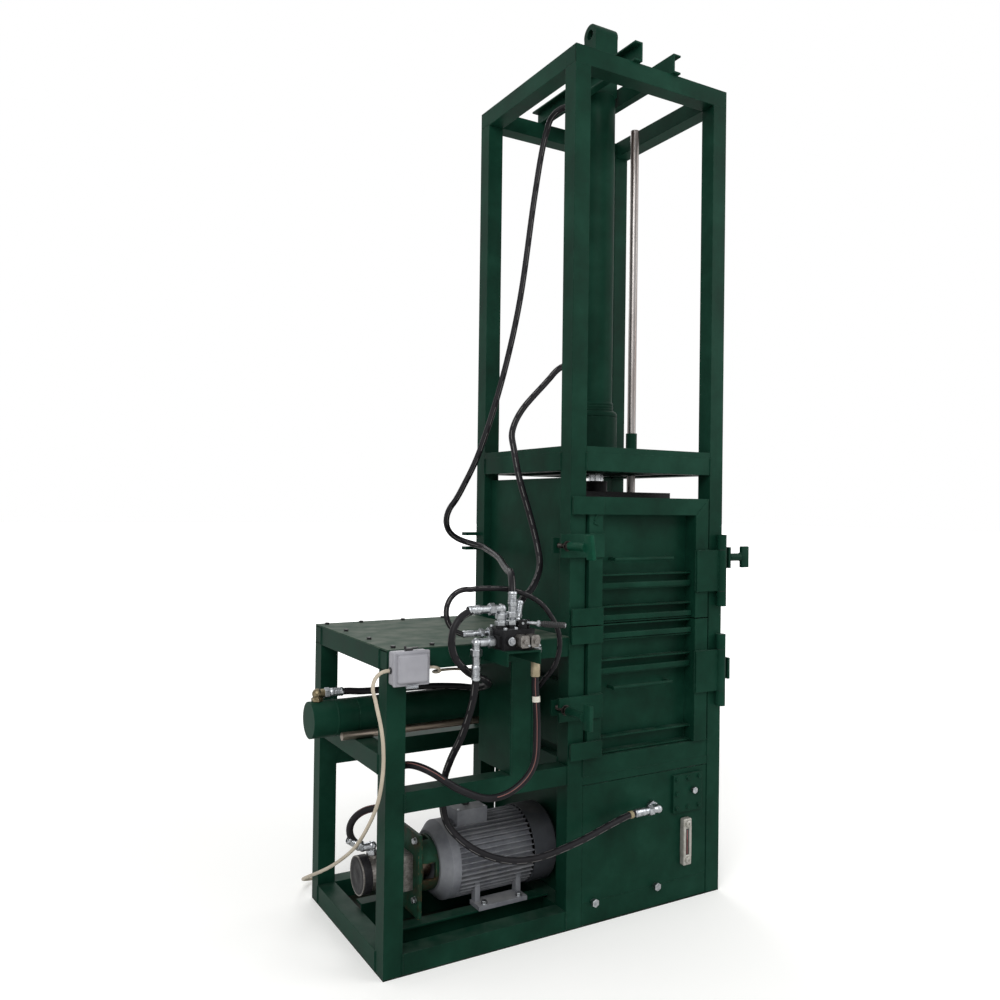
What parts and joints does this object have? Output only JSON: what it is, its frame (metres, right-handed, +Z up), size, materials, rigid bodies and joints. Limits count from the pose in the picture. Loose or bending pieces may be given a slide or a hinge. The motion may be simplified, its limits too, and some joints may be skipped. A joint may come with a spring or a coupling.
{
  "type": "hydraulic press",
  "caption": "Upright hydraulic press in a square tube tower with a guided platen, hinged chamber doors, a side ejector, a valve, and a motor and pump under a table.",
  "frame": {"origin": "on the floor, at the centre of the base pan's footprint", "axes": "+X right along the front, from the table to the tower; -Y towards the front with the doors; +Z up"},
  "size_m": [1.572, 1.0551, 3.1479],
  "materials": {
    "green_paint": "satin",
    "worn_cover": "worn matte",
    "dark_bolt": "blackened",
    "zinc": "bright zinc",
    "hard_chrome": "polished",
    "black_iron": "satin black",
    "bare_steel": "worn",
    "grey_casting": "satin",
    "dark_grey_sheet": "satin",
    "grey_plastic": "matte",
    "beige_sheath": "matte",
    "black_plastic": "matte",
    "hose_rubber": "matte"
  },
  "bodies": {
    "frame": {"floor_pan": "green_paint", "base_rails": "green_paint", "tower_posts": "green_paint", "tower_beams": "green_paint", "top_channels": "green_paint", "mid_plate": "green_paint", "chamber_floor": "green_paint", "chamber_walls": "green_paint", "table_posts": "green_paint", "table_rails": "green_paint", "table_cover": "worn_cover", "panel_bolts": "dark_bolt", "oil_tank": "green_paint", "tank_cover": "green_paint", "service_plate": "green_paint", "level_gauge": "zinc", "tank_fittings": "zinc", "cylinder_barrel": "green_paint", "cylinder_gland": "green_paint", "guide_bushes": "green_paint", "ejector_barrel": "green_paint", "ejector_head": "green_paint", "valve_stand": "green_paint", "valve_body": "black_iron", "spool_caps": "grey_casting", "hose_fittings": "zinc", "motor_body": "grey_casting", "fan_cover": "dark_grey_sheet", "bell_housing": "green_paint", "pump": "black_iron", "motor_rails": "green_paint", "hinge_barrels": "green_paint", "junction_box": "grey_plastic", "junction_lid": "grey_plastic", "mains_lead": "beige_sheath", "mains_coil": "beige_sheath", "mains_plug": "black_plastic", "motor_lead": "beige_sheath", "head_hose": "hose_rubber", "foot_hose": "hose_rubber", "cap_hose": "hose_rubber", "rod_hose": "hose_rubber", "return_hose": "hose_rubber", "pressure_hose": "hose_rubber"},
    "ram": {"ram_rod": "hard_chrome", "platen": "black_iron", "guide_rods": "bare_steel"},
    "ejector": {"ejector_rod": "hard_chrome", "pusher_plate": "green_paint", "pusher_guides": "bare_steel"},
    "upper_door": {"upper_door": "green_paint", "upper_panel": "green_paint"},
    "lower_door": {"lower_door": "green_paint", "lower_panel": "green_paint"},
    "discharge_door": {"discharge_door": "green_paint"},
    "clamp_upper": {"clamp_upper": "green_paint"},
    "clamp_lower": {"clamp_lower": "green_paint"},
    "clamp_side": {"clamp_side": "green_paint"},
    "lever": {"valve_lever": "bare_steel"},
    "drive": {"motor_shaft": "bare_steel"}
  },
  "joints": [
    {"name": "ram_slide", "type": "slide", "parent": "frame", "child": "ram", "axis": [0, 0, -1], "range_m": [0, 0.46]},
    {"name": "ejector_slide", "type": "slide", "parent": "frame", "child": "ejector", "axis": [1, 0, 0], "range_m": [0, 0.52]},
    {"name": "upper_door_hinge", "type": "hinge", "parent": "frame", "child": "upper_door", "pos_m": [0.628, -0.333, 1.144], "axis": [0, 0, 1], "range_deg": [0, 110]},
    {"name": "lower_door_hinge", "type": "hinge", "parent": "frame", "child": "lower_door", "pos_m": [0.628, -0.333, 0.791], "axis": [0, 0, 1], "range_deg": [0, 110]},
    {"name": "discharge_door_hinge", "type": "hinge", "parent": "frame", "child": "discharge_door", "pos_m": [0.663, 0.3, 0.983], "axis": [0, 0, 1], "range_deg": [0, 110]},
    {"name": "clamp_upper_turn", "type": "hinge", "parent": "upper_door", "child": "clamp_upper", "pos_m": [-0.04, -0.335, 1.238], "axis": [0, -1, 0], "range_deg": [-180, 180]},
    {"name": "clamp_lower_turn", "type": "hinge", "parent": "lower_door", "child": "clamp_lower", "pos_m": [-0.04, -0.335, 0.716], "axis": [0, -1, 0], "range_deg": [-180, 180]},
    {"name": "clamp_side_turn", "type": "hinge", "parent": "discharge_door", "child": "clamp_side", "pos_m": [0.691, -0.288, 1.187], "axis": [1, 0, 0], "range_deg": [-180, 180]},
    {"name": "lever_tilt", "type": "hinge", "parent": "frame", "child": "lever", "pos_m": [-0.252, -0.425, 1.016], "axis": [0.8, 0.6, 0], "range_deg": [-12, 12], "stiffness_Nm_per_rad": 20},
    {"name": "drive_turn", "type": "hinge", "parent": "frame", "child": "drive", "pos_m": [-0.2, -0.08, 0.216], "axis": [1, 0, 0], "continuous": true}
  ]
}
